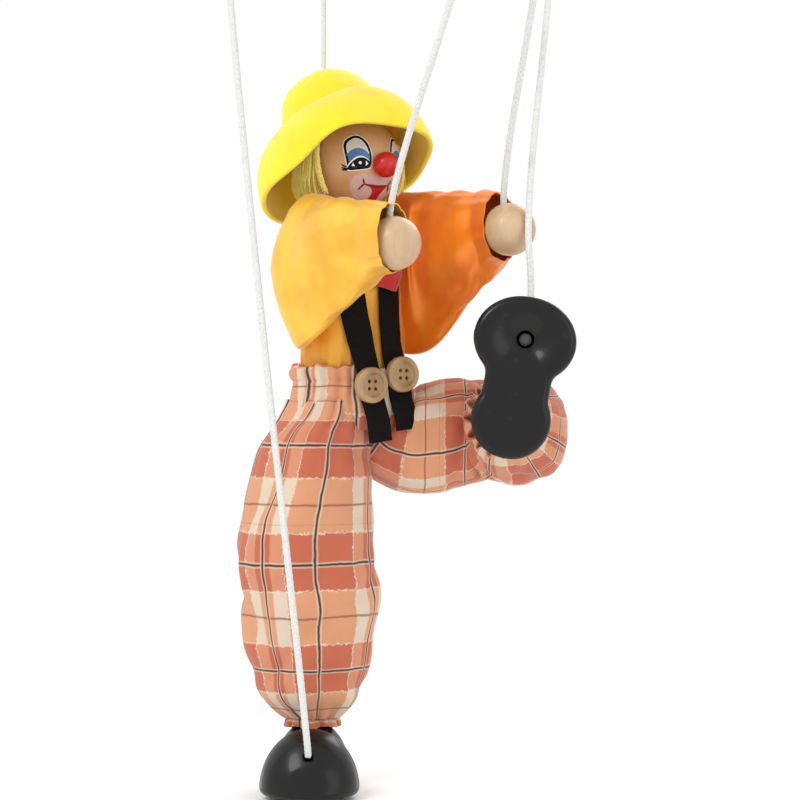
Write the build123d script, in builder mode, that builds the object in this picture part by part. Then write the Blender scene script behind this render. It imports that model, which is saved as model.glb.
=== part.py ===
"""A clown marionette on five strings, held from a wooden three-bar control.

The origin is the middle of the control's main crossing, with +Z up, the puppet facing -Y and its right
side towards -X. The puppet is stored in a walking pose, with its left knee raised. Millimetres.
"""

from build123d import *
import math
import os

# ---------------------------------------------------------------- driving dimensions
HANG = 180.0  # from the control's centre down to the middle of the waist
BODY_X = 6.5  # the body's axis, to the left of the control's main bar
BODY_Y = 42.5  # and behind the crossing

BAR_WIDTH = 14.0
BAR_THICK = 8.0
LEG_BAR_REACH = 77.0  # from the crossing to each foot string
HAND_BAR_Y = -78.5
HAND_BAR_REACH = 16.0
HEAD_HOLE_Y = 54.5
HANG_HOLE_Y = 26.0
HANG_HOLE_R = 3.0

STRING_D = 2.8
HEAD_STRING_D = 2.2
STRING_HOLE_CLEARANCE = 0.9

HEAD_R = 20.0
NOSE_R = 5.3
HAND_R = 10.5
HAT_R = 21.6
HAT_CROWN = 18.0
BRIM_OUT = 24.0
BRIM_DOWN = 23.5
FELT = 1.6

DOWEL_R = 4.5  # thighs and shins
PIN_R = 1.0
TONGUE = 4.0
SLOT = 4.6
JOINT_GAP = 6.5  # from a joint's pin to the full round of the dowel
END_OVERLAP = 0.8  # a thinner core runs this far into each end, so that a slanted end stays joined
RUNNING = 0.06  # radial clearance of a pin in the piece that turns on it

ARM_R = 3.5
YOKE_R = 3.0
YOKE_REACH = 31.8
BOSS_R = 6.0
BOSS_WIDTH = 6.0

CLOTH = 1.2
CLEAR = 0.3  # between pieces that move past each other
SNUG = 0.2  # round a string in its hole

SHOE_HEIGHT = 26.0
HEEL_R = 15.5
TOE_ACROSS = 20.0
TOE_ALONG = 17.0
SHOE_STEP = 31.5  # from the heel's centre to the toe's
SHOE_WAIST = 26.0
ANKLE_HEIGHT = 22.4  # the ankle pin above the sole

BUTTON_R = 7.3
STRAP_WIDTH = 10.5
STRAP_THICK = 1.0

STANDING = (Align.CENTER, Align.CENTER, Align.MIN)  # a solid that stands on its location


# ---------------------------------------------------------------- places
def spot(x, y, z):
    """A point measured from the middle of the waist."""
    return Vector(BODY_X + x, BODY_Y + y, z - HANG)


OUT = Vector(0.839, -0.545, 0).normalized()  # the raised left thigh points this way
AHEAD = Vector(-0.545, -0.839, 0).normalized()  # the way that the standing toe points
UP = Vector(0, 0, 1)

HEAD = spot(0, 0, 98)
NECK = spot(0, 0, 70)
SHOULDER_Z = 56.0
SHOULDER = {"right": spot(-27.5, 0, SHOULDER_Z), "left": spot(27.5, 0, SHOULDER_Z)}
HAND = {"right": spot(-21, -64.7, 60.5), "left": spot(31.5, -67.6, 67.7)}
HIP = {"right": spot(-13.5, 0, -14), "left": spot(14, 0, -14)}
KNEE = {"right": spot(-20, 3, -78), "left": HIP["left"] + OUT * 64 + UP * 2}
ANKLE = {"right": spot(-15, 7, -135.1), "left": spot(28, -72, -7.7)}
TILT = Vector(-0.191, 0.446, 0.875).normalized()  # the hat's axis
HAT = HEAD + TILT * 23.5  # the middle of the fold between crown and brim

LEFT_TOE = (OUT * 0.174 + UP * 0.985).normalized()
SHOE_TOE = {"right": AHEAD, "left": LEFT_TOE}
SHOE_UP = {"right": UP, "left": AHEAD * -1}
HIP_AXIS = {"right": Vector(1, 0, 0), "left": Vector(0.545, 0.839, 0).normalized()}
KNEE_AXIS = {"right": Vector(1, 0, 0), "left": UP}
SIDES = ("right", "left")
SIGN = {"right": -1, "left": 1}

os.makedirs("parts", exist_ok=True)


def save(part, name):
    """Label a finished piece and write its STEP file."""
    part.label = name
    export_step(part, f"parts/{name}.step")


# ---------------------------------------------------------------- control
def control_bar(name, length, centre, turned, notch_low, holes):
    """A flat bar with rounded ends, half-lap notches and holes for strings and screws."""
    turn = Vector(0, 1, 0) if turned else Vector(1, 0, 0)
    plane = Plane(origin=centre - UP * BAR_THICK / 2, x_dir=turn, z_dir=UP)
    with BuildPart() as bar:
        with BuildSketch(plane):
            RectangleRounded(length, BAR_WIDTH, BAR_WIDTH / 2 - 1)
        extrude(amount=BAR_THICK)
        chamfer(bar.faces().filter_by(Axis.Z).edges(), 0.8)
        for crossing in ((0, 0, 0), (0, HAND_BAR_Y, 0)):
            level = -BAR_THICK / 4 if notch_low else BAR_THICK / 4
            with Locations(Vector(*crossing) + UP * level):
                Box(BAR_WIDTH, BAR_WIDTH, BAR_THICK / 2, mode=Mode.SUBTRACT)
        for x, y, radius in holes:
            with Locations((x, y, 0)):
                Cylinder(radius, 2 * BAR_THICK, mode=Mode.SUBTRACT)
    save(bar.part, name)


STRING_HOLE = STRING_D / 2 + STRING_HOLE_CLEARANCE
SCREW_R = 1.5
screw_spots = [(0, 0, SCREW_R), (0, HAND_BAR_Y, SCREW_R)]
main_front = HAND_BAR_Y - 12
main_back = HEAD_HOLE_Y + 10
main_holes = [(0, HEAD_HOLE_Y, STRING_HOLE), (0, HANG_HOLE_Y, HANG_HOLE_R), *screw_spots]
control_bar(
    "control_main_bar",
    main_back - main_front,
    Vector(0, (main_front + main_back) / 2, 0),
    True,
    True,
    main_holes,
)
leg_holes = [(side * LEG_BAR_REACH, 0, STRING_HOLE) for side in (-1, 1)]
control_bar(
    "control_leg_bar", 2 * LEG_BAR_REACH + 16, Vector(0, 0, 0), False, False, [*leg_holes, screw_spots[0]]
)
hand_holes = [(side * HAND_BAR_REACH, HAND_BAR_Y, STRING_HOLE) for side in (-1, 1)]
control_bar(
    "control_hand_bar",
    2 * HAND_BAR_REACH + 16,
    Vector(0, HAND_BAR_Y, 0),
    False,
    False,
    [*hand_holes, screw_spots[1]],
)

with BuildPart() as screws:
    for x, y, _ in screw_spots:
        with Locations((x, y, 0)):
            Cylinder(SCREW_R, BAR_THICK)
        with Locations((x, y, BAR_THICK / 2)):
            Cylinder(3.2, 1.4, align=STANDING)
        with Locations((x, y, BAR_THICK / 2 + 1.4)):
            Box(4.6, 0.8, 1.2, mode=Mode.SUBTRACT)
save(screws.part, "control_screws")

STRING_TOPS = {
    "head": Vector(0, HEAD_HOLE_Y, BAR_THICK / 2),
    "right_hand": Vector(-HAND_BAR_REACH, HAND_BAR_Y, BAR_THICK / 2),
    "left_hand": Vector(HAND_BAR_REACH, HAND_BAR_Y, BAR_THICK / 2),
    "right_foot": Vector(-LEG_BAR_REACH, 0, BAR_THICK / 2),
    "left_foot": Vector(LEG_BAR_REACH, 0, BAR_THICK / 2),
}
with BuildPart() as knots:
    for top in STRING_TOPS.values():
        with Locations(top + UP * 2.2):
            Sphere(3.4)
        with Locations(top):
            Box(9, 9, 4, align=(Align.CENTER, Align.CENTER, Align.MAX), mode=Mode.SUBTRACT)
save(knots.part, "control_knots")


# ---------------------------------------------------------------- wooden joints
def round_end(pin, into, axis, radius, gap):
    """The last stretch of a dowel, rounded about a joint's pin."""
    with BuildPart() as end:
        with BuildSketch(Plane(origin=pin - into * radius, z_dir=into)):
            Circle(radius)
        extrude(amount=radius + gap)
        with BuildSketch(Plane(origin=pin, x_dir=into, z_dir=axis)):
            Circle(radius)
            with Locations((gap / 2, 0)):
                Rectangle(gap, 2 * radius)
        extrude(amount=radius, both=True, mode=Mode.INTERSECT)
    return end.part


def tongue_end(pin, into, axis, radius=DOWEL_R, gap=JOINT_GAP):
    """A rounded end cut down to a tongue, bored to turn on its pin."""
    with BuildPart() as end:
        add(round_end(pin, into, axis, radius, gap))
        with BuildSketch(Plane(origin=pin, x_dir=into, z_dir=axis)):
            Rectangle(4 * gap, 4 * gap)
        extrude(amount=TONGUE / 2, both=True, mode=Mode.INTERSECT)
        with BuildSketch(Plane(origin=pin, x_dir=into, z_dir=axis)):
            Circle(PIN_R + RUNNING)
        extrude(amount=TONGUE, both=True, mode=Mode.SUBTRACT)
    return end.part


def fork_end(pin, into, axis, radius=DOWEL_R, gap=JOINT_GAP):
    """A rounded end slotted to take a tongue, bored to hold the pin fast."""
    with BuildPart() as end:
        add(round_end(pin, into, axis, radius, gap))
        with BuildSketch(Plane(origin=pin, x_dir=into, z_dir=axis)):
            Rectangle(2 * gap, 4 * radius)
        extrude(amount=SLOT / 2, both=True, mode=Mode.SUBTRACT)
        with BuildSketch(Plane(origin=pin, x_dir=into, z_dir=axis)):
            Circle(PIN_R)
        extrude(amount=2 * radius, both=True, mode=Mode.SUBTRACT)
    return end.part


def dowel(start, end, start_end, end_end, radius=DOWEL_R, gap=JOINT_GAP):
    """A round dowel between two joints, whose ends are made by the functions above."""
    along = (end - start).normalized()
    with BuildPart() as rod:
        with BuildSketch(Plane(origin=start + along * gap, z_dir=along)):
            Circle(radius)
        extrude(amount=(end - start).length - 2 * gap)
        add(start_end)
        add(end_end)
        core_from = gap - END_OVERLAP
        with BuildSketch(Plane(origin=start + along * core_from, z_dir=along)):
            Circle(radius - 0.3)
        extrude(amount=(end - start).length - 2 * core_from)
    return rod.part


def pin(name, centre, axis, length):
    """A steel pin across a joint."""
    with BuildPart() as rod:
        with BuildSketch(Plane(origin=centre, z_dir=axis)):
            Circle(PIN_R)
        extrude(amount=length / 2, both=True)
    save(rod.part, name)


# ---------------------------------------------------------------- body block, yoke and neck
BLOCK_WIDE = 13.0
BLOCK_DEEP = 9.0
NECK_R = 4.0
NECK_GAP = 6.0
HIP_STUB = {
    "right": UP * -1,
    "left": (OUT + UP * -1).normalized(),
}


def hip_stub(side):
    """The short forked dowel that a thigh hangs from, pointing midway along the thigh's travel."""
    into = HIP_STUB[side] * -1
    with BuildPart() as stub:
        add(fork_end(HIP[side], into, HIP_AXIS[side]))
        with BuildSketch(Plane(origin=HIP[side] + into * JOINT_GAP, z_dir=into)):
            Circle(DOWEL_R)
        extrude(amount=8)
    return stub.part


with BuildPart() as block:
    with BuildSketch(Plane(origin=spot(0, 0, -4))):
        Ellipse(BLOCK_WIDE, BLOCK_DEEP)
    extrude(amount=66)
    with Locations(spot(0, 0, 61)):
        Cylinder(NECK_R + 1.5, 4, align=STANDING)
    add(fork_end(NECK, UP * -1, Vector(1, 0, 0), NECK_R + 1.5, NECK_GAP))
    for side in SIDES:
        add(hip_stub(side))
    with Locations(spot(0, 0, SHOULDER_Z)):
        Cylinder(YOKE_R, 60, rotation=(0, 90, 0), mode=Mode.SUBTRACT)
save(block.part, "body_block")

with BuildPart() as yoke:
    with Locations(spot(0, 0, SHOULDER_Z)):
        Cylinder(YOKE_R, 2 * YOKE_REACH, rotation=(0, 90, 0))
    for side in SIDES:
        with Locations(spot(SIGN[side] * (YOKE_REACH + 0.7), 0, SHOULDER_Z)):
            Cylinder(4.4, 1.4, rotation=(0, 90, 0))
save(yoke.part, "shoulder_yoke")

with BuildPart() as neck:
    add(tongue_end(NECK, UP, Vector(1, 0, 0), NECK_R, NECK_GAP))
    with Locations(NECK + UP * NECK_GAP):
        Cylinder(NECK_R, 14, align=STANDING)
save(neck.part, "neck_peg")
pin("neck_pin", NECK, Vector(1, 0, 0), 2 * NECK_R)


# ---------------------------------------------------------------- head
nose_way = Vector(0.10, -0.994, -0.11).normalized()
NOSE = HEAD + nose_way * (HEAD_R + 2.6)
crown_string = Vector(0, HEAD_HOLE_Y, HEAD.Z)
HEAD_BORE = 20.4  # how far the neck's blind hole runs up into the head, from the neck pin
with BuildPart() as head:
    with Locations(HEAD):
        Sphere(HEAD_R)
    with Locations(NECK):
        Cylinder(NECK_R + RUNNING, HEAD_BORE, align=STANDING, mode=Mode.SUBTRACT)
    with Locations(crown_string + UP * 8):
        Cylinder(HEAD_STRING_D / 2 + SNUG, 20, align=STANDING, mode=Mode.SUBTRACT)
save(head.part, "head_ball")

with BuildPart() as nose:
    with Locations(NOSE):
        Sphere(NOSE_R)
    with Locations(HEAD):
        Sphere(HEAD_R, mode=Mode.SUBTRACT)
save(nose.part, "nose")


hat_side = TILT.cross(UP).normalized()
hat_out = hat_side.cross(TILT).normalized()
hat_plane = Plane(origin=HAT, x_dir=hat_out, z_dir=hat_side * -1)
with BuildPart() as hat:
    with BuildSketch(hat_plane):
        with BuildLine():
            Polyline(
                (0, HAT_CROWN),
                (HAT_R - 8, (HAT_CROWN - 0.5)),
                (HAT_R - 2, (HAT_CROWN - 6)),
                (HAT_R, 0),
                (HAT_R + BRIM_OUT, -BRIM_DOWN),
                (HAT_R + BRIM_OUT - FELT, -(BRIM_DOWN + FELT)),
                (HAT_R - FELT, -FELT),
                (HAT_R - 2 - FELT, (HAT_CROWN - 6 - FELT / 2)),
                (HAT_R - 9, (HAT_CROWN - 0.5 - FELT)),
                (0, (HAT_CROWN - FELT)),
                close=True,
            )
        make_face()
    revolve(axis=Axis(HAT, TILT))
    with Locations(crown_string + UP * 20):
        Cylinder(HEAD_STRING_D / 2 + CLEAR, 40, align=STANDING, mode=Mode.SUBTRACT)
save(hat.part, "hat")

HAIR_R = 27.0
with BuildPart() as hair:
    with Locations(HEAD):
        Sphere(HAIR_R)
        Sphere(HEAD_R, mode=Mode.SUBTRACT)
    with Locations(HEAD + Vector(0, 1, 0)):
        Box(80, 60, 80, align=(Align.CENTER, Align.MAX, Align.CENTER), mode=Mode.SUBTRACT)
    with Locations(HEAD + UP * -15):
        Box(80, 80, 40, align=(Align.CENTER, Align.CENTER, Align.MAX), mode=Mode.SUBTRACT)
    with Locations(Plane(origin=HAT - TILT * (FELT + 1.5), z_dir=TILT)):
        Cylinder(60, 40, align=STANDING, mode=Mode.SUBTRACT)
    with Locations(crown_string + UP * 8):
        Cylinder(HEAD_STRING_D / 2 + CLEAR, 30, align=STANDING, mode=Mode.SUBTRACT)
save(hair.part, "hair")


# ---------------------------------------------------------------- clothes on the body
def ellipses(sections, shrink):
    """A loft through level ellipses, each given as centre x, y, height and half widths."""
    with BuildPart() as body:
        for x, y, z, wide, deep in sections:
            with BuildSketch(Plane(origin=spot(x, y, z))):
                Ellipse(wide - shrink, deep - shrink)
        loft()
    return body.part


SHIRT = [(0, 0, 4, 24.2, 17.8), (0, 0, 30, 23.0, 17.6), (0, 0, 58, 22.0, 16.5), (0, 0, 75, 15, 11)]
with BuildPart() as shirt:
    add(ellipses(SHIRT, 0))
    add(ellipses(SHIRT, CLOTH), mode=Mode.SUBTRACT)
    with Locations(spot(0, 0, SHOULDER_Z)):
        Cylinder(YOKE_R + CLEAR, 80, rotation=(0, 90, 0), mode=Mode.SUBTRACT)
save(shirt.part, "shirt")

TIE_FRONT = -21.6
with BuildPart() as tie:
    with BuildSketch(Plane(origin=spot(0, TIE_FRONT, 0), x_dir=Vector(1, 0, 0), z_dir=Vector(0, -1, 0))):
        with BuildLine():
            Polyline((3, 74), (10, 74), (8.5, 68), (11, 50), (4.5, 43), (-2, 50), (4, 68), close=True)
        make_face()
    extrude(amount=1.5)
save(tie.part, "tie")

STRAP_FRONT = -19.7
STRAPS = {"right": (-12.4, 74, -1.2, -17), "left": (11.4, 74, 11.8, -12)}
for side, (x_top, z_top, x_low, z_low) in STRAPS.items():
    drop = (spot(x_low, 0, z_low) - spot(x_top, 0, z_top)).normalized()
    across = Vector(-drop.Z, 0, drop.X).normalized()
    plane = Plane(origin=spot(x_top, 0, z_top), x_dir=Vector(0, 1, 0), z_dir=across)
    long = math.hypot(x_low - x_top, z_low - z_top)
    with BuildPart() as strap:
        with BuildSketch(plane):
            with BuildLine():
                Polyline(
                    (STRAP_FRONT, -long),
                    (STRAP_FRONT, -6),
                    (-13, 1.5),
                    (13, 1.5),
                    (-STRAP_FRONT, -6),
                    (-STRAP_FRONT, -66),
                    (-STRAP_FRONT + STRAP_THICK, -66),
                    (-STRAP_FRONT + STRAP_THICK, -5.6),
                    (13.4, 1.5 + STRAP_THICK),
                    (-13.4, 1.5 + STRAP_THICK),
                    (STRAP_FRONT - STRAP_THICK, -5.6),
                    (STRAP_FRONT - STRAP_THICK, -long),
                    close=True,
                )
            make_face()
        extrude(amount=STRAP_WIDTH / 2, both=True)
    save(strap.part, f"{side}_suspender")

BUTTONS = {"right": (-4.4, 6), "left": (10.6, 10.5)}
for side, (x, z) in BUTTONS.items():
    with BuildPart() as button:
        centre = spot(x, STRAP_FRONT - STRAP_THICK, z)
        face = Plane(origin=centre, x_dir=Vector(1, 0, 0), z_dir=Vector(0, -1, 0))
        with BuildSketch(face):
            Circle(BUTTON_R)
        extrude(amount=3)
        fillet(button.faces().sort_by(Axis.Y)[0].edges(), 0.9)
        with BuildSketch(face.offset(2.2)):
            Circle(BUTTON_R - 2.2)
        extrude(amount=1, mode=Mode.SUBTRACT)
        with BuildSketch(face):
            with GridLocations(3.0, 3.0, 2, 2):
                Circle(0.8)
        extrude(amount=4, mode=Mode.SUBTRACT)
    save(button.part, f"{side}_button")

SEAT = [(0, 0, 13, 26.6, 19.3), (0, 0, 2, 25.6, 19.1), (0, 0, -18, 25.8, 19.3)]
with BuildPart() as seat:
    add(ellipses(SEAT, 0))
    add(ellipses(SEAT, CLOTH), mode=Mode.SUBTRACT)
    with BuildSketch(Plane(origin=HIP["left"], z_dir=OUT)):
        Circle(15)
    extrude(amount=60, mode=Mode.SUBTRACT)
save(seat.part, "pants_seat")

# ---------------------------------------------------------------- arms
def tube(path_sections, shrink):
    """A loft through ellipses set across a limb: centre, direction, half width and half height."""
    with BuildPart() as body:
        for centre, along, wide, high in path_sections:
            side_way = along.cross(UP).normalized()
            with BuildSketch(Plane(origin=centre, x_dir=side_way, z_dir=along)):
                Ellipse(wide - shrink, high - shrink)
        loft()
    return body.part


for side in SIDES:
    shoulder, hand = SHOULDER[side], HAND[side]
    along = (hand - shoulder).normalized()
    wrist = hand - along * (HAND_R - 2)
    with BuildPart() as arm:
        with Locations(shoulder):
            Cylinder(BOSS_R, BOSS_WIDTH, rotation=(0, 90, 0))
        with BuildSketch(Plane(origin=shoulder, z_dir=along)):
            Circle(ARM_R)
        extrude(amount=(wrist - shoulder).length)
        with Locations(shoulder):
            Cylinder(YOKE_R + RUNNING, 40, rotation=(0, 90, 0), mode=Mode.SUBTRACT)
    save(arm.part, f"{side}_arm")

    hole_way = Vector(0, 0.45, 0.893).normalized()
    with BuildPart() as ball:
        with Locations(hand):
            Sphere(HAND_R)
        with BuildSketch(Plane(origin=shoulder, z_dir=along)):
            Circle(ARM_R)
        extrude(amount=(wrist - shoulder).length, mode=Mode.SUBTRACT)
        with BuildSketch(Plane(origin=hand + hole_way * 4, z_dir=hole_way)):
            Circle(STRING_D / 2 + 0.2)
        extrude(amount=20, mode=Mode.SUBTRACT)
    save(ball.part, f"{side}_hand")

    sleeve_sections = [
        (shoulder + along * 10 + Vector(SIGN[side] * 2, 0, 0) + UP * -6, along, 7.5, 25),
        (shoulder + along * 32 + Vector(SIGN[side] * 2, 0, 0) + UP * -3, along, 9.8, 19),
        (hand - along * 9, along, 10.5, 12),
    ]
    with BuildPart() as sleeve:
        add(tube(sleeve_sections, 0))
        add(tube(sleeve_sections, CLOTH), mode=Mode.SUBTRACT)
    save(sleeve.part, f"{side}_sleeve")

# ---------------------------------------------------------------- legs and shoes
FOOT_HOLE = {"right": (13, 14, 18), "left": (17, 10, 15)}  # forward, upward, depth of the string's end


def foot_hole_way(side):
    """The way that the slanted string hole leaves the toe."""
    forward, upward, _ = FOOT_HOLE[side]
    return (SHOE_TOE[side] * forward + SHOE_UP[side] * upward).normalized()


for side in SIDES:
    hip, knee, ankle = HIP[side], KNEE[side], ANKLE[side]
    thigh_way = (knee - hip).normalized()
    shin_way = (ankle - knee).normalized()
    toe_way, top_way = SHOE_TOE[side], SHOE_UP[side]
    ankle_axis = toe_way.cross(top_way).normalized()

    thigh = dowel(
        hip,
        knee,
        tongue_end(hip, thigh_way, HIP_AXIS[side]),
        fork_end(knee, thigh_way * -1, KNEE_AXIS[side]),
    )
    save(thigh, f"{side}_thigh")
    shin = dowel(
        knee,
        ankle,
        tongue_end(knee, shin_way, KNEE_AXIS[side]),
        tongue_end(ankle, shin_way * -1, ankle_axis),
    )
    save(shin, f"{side}_shin")
    pin(f"{side}_hip_pin", hip, HIP_AXIS[side], 2 * DOWEL_R - 1)
    pin(f"{side}_knee_pin", knee, KNEE_AXIS[side], 2 * DOWEL_R - 1)
    pin(f"{side}_ankle_pin", ankle, ankle_axis, 2 * DOWEL_R + 8)

    sole = Plane(origin=ankle - top_way * ANKLE_HEIGHT, x_dir=toe_way, z_dir=top_way)
    with BuildPart() as shoe:
        with BuildSketch(sole) as outline:
            Circle(HEEL_R)
            with Locations((SHOE_STEP, 0)):
                Ellipse(TOE_ALONG, TOE_ACROSS)
            with Locations((SHOE_STEP / 2, 0)):
                Rectangle(SHOE_STEP, SHOE_WAIST)
            waist = [corner for corner in outline.vertices() if corner.X < SHOE_STEP - 5]
            fillet(waist, 5)
        extrude(amount=SHOE_HEIGHT)
        top_face = shoe.faces().sort_by(Axis(sole.origin, sole.z_dir))[-1]
        fillet(top_face.edges(), 8)
        bottom_face = shoe.faces().sort_by(Axis(sole.origin, sole.z_dir))[0]
        fillet(bottom_face.edges(), 3)
        with BuildSketch(Plane(origin=ankle, x_dir=toe_way, z_dir=ankle_axis)):
            Circle(DOWEL_R + 0.6)
            Rectangle(18, 16, align=(Align.CENTER, Align.MIN))
        extrude(amount=SLOT / 2, both=True, mode=Mode.SUBTRACT)
        with BuildSketch(Plane(origin=ankle, z_dir=ankle_axis)):
            Circle(PIN_R)
        extrude(amount=DOWEL_R + 4, both=True, mode=Mode.SUBTRACT)
        with BuildSketch(sole):
            with Locations((SHOE_STEP, 0)):
                Circle(3.5)
        extrude(amount=6, mode=Mode.SUBTRACT)
        string_way = foot_hole_way(side)
        with BuildSketch(Plane(origin=sole.origin + toe_way * SHOE_STEP + top_way * 4, z_dir=string_way)):
            Circle(STRING_D / 2 + 0.5)
        extrude(amount=40, mode=Mode.SUBTRACT)
    save(shoe.part, f"{side}_shoe")

    with BuildPart() as foot_knot:
        with Locations(sole.origin + toe_way * SHOE_STEP + top_way * 2.6):
            Sphere(2.4)
    save(foot_knot.part, f"{side}_foot_knot")

    with BuildPart() as elastic:
        with Locations(Plane(origin=ankle - shin_way * 11, z_dir=shin_way)):
            Torus(6.2, 0.8)
    save(elastic.part, f"{side}_ankle_elastic")

RIGHT_LEG_UPPER = [(-13.6, 0, -18.5, 12.4, 17), (-17, 0, -30, 17, 19), (-22, 0, -49, 26, 20)]
RIGHT_LEG_LOWER = [
    (-22, 0, -49.5, 26, 20),
    (-18, 3, -79, 26.5, 21),
    (-17, 5, -102, 24, 20),
    (-15.5, 6.5, -118, 16, 15),
    (-15, 7, -126, 9.5, 9.5),
]
for name, sections in (("right_leg_upper", RIGHT_LEG_UPPER), ("right_leg_lower", RIGHT_LEG_LOWER)):
    with BuildPart() as cloth:
        add(ellipses(sections, 0))
        add(ellipses(sections, CLOTH), mode=Mode.SUBTRACT)
    save(cloth.part, name)

hip, knee, ankle = HIP["left"], KNEE["left"], ANKLE["left"]
shin_way = (ankle - knee).normalized()
LEFT_UPPER = [(hip + OUT * 18 + UP * -1, OUT, 15, 18), (hip + OUT * 40 + UP * -3, OUT, 18, 22)]
LEFT_THIGH = [(hip + OUT * 40.5 + UP * -3, OUT, 18, 22), (knee, OUT, 17, 20)]
LEFT_SHIN = [
    (knee, shin_way, 17, 20),
    (ankle - shin_way * 20, shin_way, 15, 15),
    (ankle - shin_way * 9, shin_way, 9.5, 9.5),
]
with BuildPart() as cloth:
    add(tube(LEFT_UPPER, 0))
    add(tube(LEFT_UPPER, CLOTH), mode=Mode.SUBTRACT)
save(cloth.part, "left_leg_upper")
with BuildPart() as cloth:
    add(tube(LEFT_THIGH, 0))
    add(tube(LEFT_SHIN, 0))
    with Locations(knee):
        Sphere(19.5)
    add(tube(LEFT_THIGH, CLOTH), mode=Mode.SUBTRACT)
    add(tube(LEFT_SHIN, CLOTH), mode=Mode.SUBTRACT)
    with Locations(knee):
        Sphere(19.5 - CLOTH, mode=Mode.SUBTRACT)
save(cloth.part, "left_leg_lower")

# ---------------------------------------------------------------- strings
def foot_entry(side):
    """Where a foot string meets the toe, just inside the slanted hole."""
    toe_way, top_way = SHOE_TOE[side], SHOE_UP[side]
    middle = ANKLE[side] - top_way * ANKLE_HEIGHT + toe_way * SHOE_STEP
    way = foot_hole_way(side)
    return middle + top_way * 4 + way * FOOT_HOLE[side][2], way


def hand_entry(side):
    """Where a hand string meets the ball, just inside its hole."""
    way = Vector(0, 0.45, 0.893).normalized()
    return HAND[side] + way * 7, way


def string(name, top, lower_points, diameter):
    """A string from its knot on the control down to its hole, in straight runs joined by arcs."""
    points = [top, top - UP * 12, *lower_points]
    radii = []
    for before, here, after in zip(points, points[1:], points[2:]):
        turn = (here - before).get_angle(after - here)
        shorter = min((here - before).length, (after - here).length)
        radii.append(0.45 * shorter / math.tan(math.radians(turn / 2)))
    print(name, "radii", [round(radius, 1) for radius in radii])
    with BuildPart() as cord:
        with BuildLine() as path:
            FilletPolyline(*points, radius=radii)
        with BuildSketch(Plane(origin=top, z_dir=UP * -1)):
            Circle(diameter / 2)
        sweep()
    length = path.wires()[0].length
    section = math.pi * diameter**2 / 4
    print(name, "length", round(length, 1), "volume ratio", round(cord.part.volume / section / length, 4))
    save(cord.part, name)


FOOT_STRING_BEND = {"right": [spot(-59.5, -31, 20)], "left": [spot(29.4, -81.4, 73)]}
head_end = Vector(0, HEAD_HOLE_Y, HEAD.Z + 11)
string("head_string", STRING_TOPS["head"], [spot(-6.3, 12.2, 140), head_end], HEAD_STRING_D)
for side in SIDES:
    end, way = hand_entry(side)
    top = STRING_TOPS[f"{side}_hand"]
    string(f"{side}_hand_string", top, [end + way * 9, end], STRING_D)
for side in SIDES:
    end, way = foot_entry(side)
    top = STRING_TOPS[f"{side}_foot"]
    string(f"{side}_foot_string", top, [*FOOT_STRING_BEND[side], end + way * 9, end], STRING_D)

with BuildPart() as band:
    with BuildSketch(Plane(origin=spot(0, 0, 0))):
        Ellipse(23.9, 17.4)
        Ellipse(22.4, 15.9, mode=Mode.SUBTRACT)
    extrude(amount=2.5)
save(band.part, "waist_elastic")
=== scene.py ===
import math
import random

import bpy
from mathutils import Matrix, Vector, noise


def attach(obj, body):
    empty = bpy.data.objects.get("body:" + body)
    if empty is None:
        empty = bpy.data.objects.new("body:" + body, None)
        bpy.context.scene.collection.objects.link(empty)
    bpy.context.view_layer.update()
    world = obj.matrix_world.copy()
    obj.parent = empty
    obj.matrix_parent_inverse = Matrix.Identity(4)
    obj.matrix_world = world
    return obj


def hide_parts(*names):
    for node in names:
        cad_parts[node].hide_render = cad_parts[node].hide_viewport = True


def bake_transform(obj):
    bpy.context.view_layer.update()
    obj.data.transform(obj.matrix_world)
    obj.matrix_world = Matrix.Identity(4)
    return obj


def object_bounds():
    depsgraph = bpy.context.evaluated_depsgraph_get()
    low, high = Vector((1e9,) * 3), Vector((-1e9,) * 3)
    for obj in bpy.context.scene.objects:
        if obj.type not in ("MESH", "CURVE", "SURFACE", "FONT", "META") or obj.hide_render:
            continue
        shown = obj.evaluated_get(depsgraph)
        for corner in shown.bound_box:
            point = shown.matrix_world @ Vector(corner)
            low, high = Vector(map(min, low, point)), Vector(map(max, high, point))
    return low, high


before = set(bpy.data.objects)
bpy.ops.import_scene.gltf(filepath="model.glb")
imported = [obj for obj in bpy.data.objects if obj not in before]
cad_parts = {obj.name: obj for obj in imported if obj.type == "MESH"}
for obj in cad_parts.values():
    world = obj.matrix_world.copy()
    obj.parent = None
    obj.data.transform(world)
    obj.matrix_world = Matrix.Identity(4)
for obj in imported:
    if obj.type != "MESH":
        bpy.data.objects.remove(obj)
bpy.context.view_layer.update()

random.seed(7)
MM = 0.001
SIDES = ("right", "left")
SIGN = {"right": -1, "left": 1}

# ---------------------------------------------------------------- places, as in the CAD model
# Bare numbers are millimetres here; row, spot and across turn them into metres.
HANG = 180.0
BODY = (6.5, 42.5)
UP = Vector((0, 0, 1))
OUT = Vector((0.839, -0.545, 0)).normalized()  # along the raised thigh
AHEAD = Vector((-0.545, -0.839, 0)).normalized()  # along the standing toe
HAND_BAR_Y = -78.5
HEAD_HOLE_Y = 54.5
HEAD_R = 20.0


def row(x, y, z):
    """A point given in millimetres in the row frame."""
    return Vector((x, y, z)) * MM


def spot(x, y, z):
    """A point given in millimetres from the middle of the waist."""
    return row(BODY[0] + x, BODY[1] + y, z - HANG)


HEAD = spot(0, 0, 98)
ANKLE = {"right": spot(-15, 7, -135.1), "left": spot(28, -72, -7.7)}
HAND = {"right": spot(-21, -64.7, 60.5), "left": spot(31.5, -67.6, 67.7)}
LEFT_TOE = (OUT * 0.174 + UP * 0.985).normalized()
SHOE_TOE = {"right": AHEAD, "left": LEFT_TOE}
SHOE_UP = {"right": UP, "left": -AHEAD}
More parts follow.
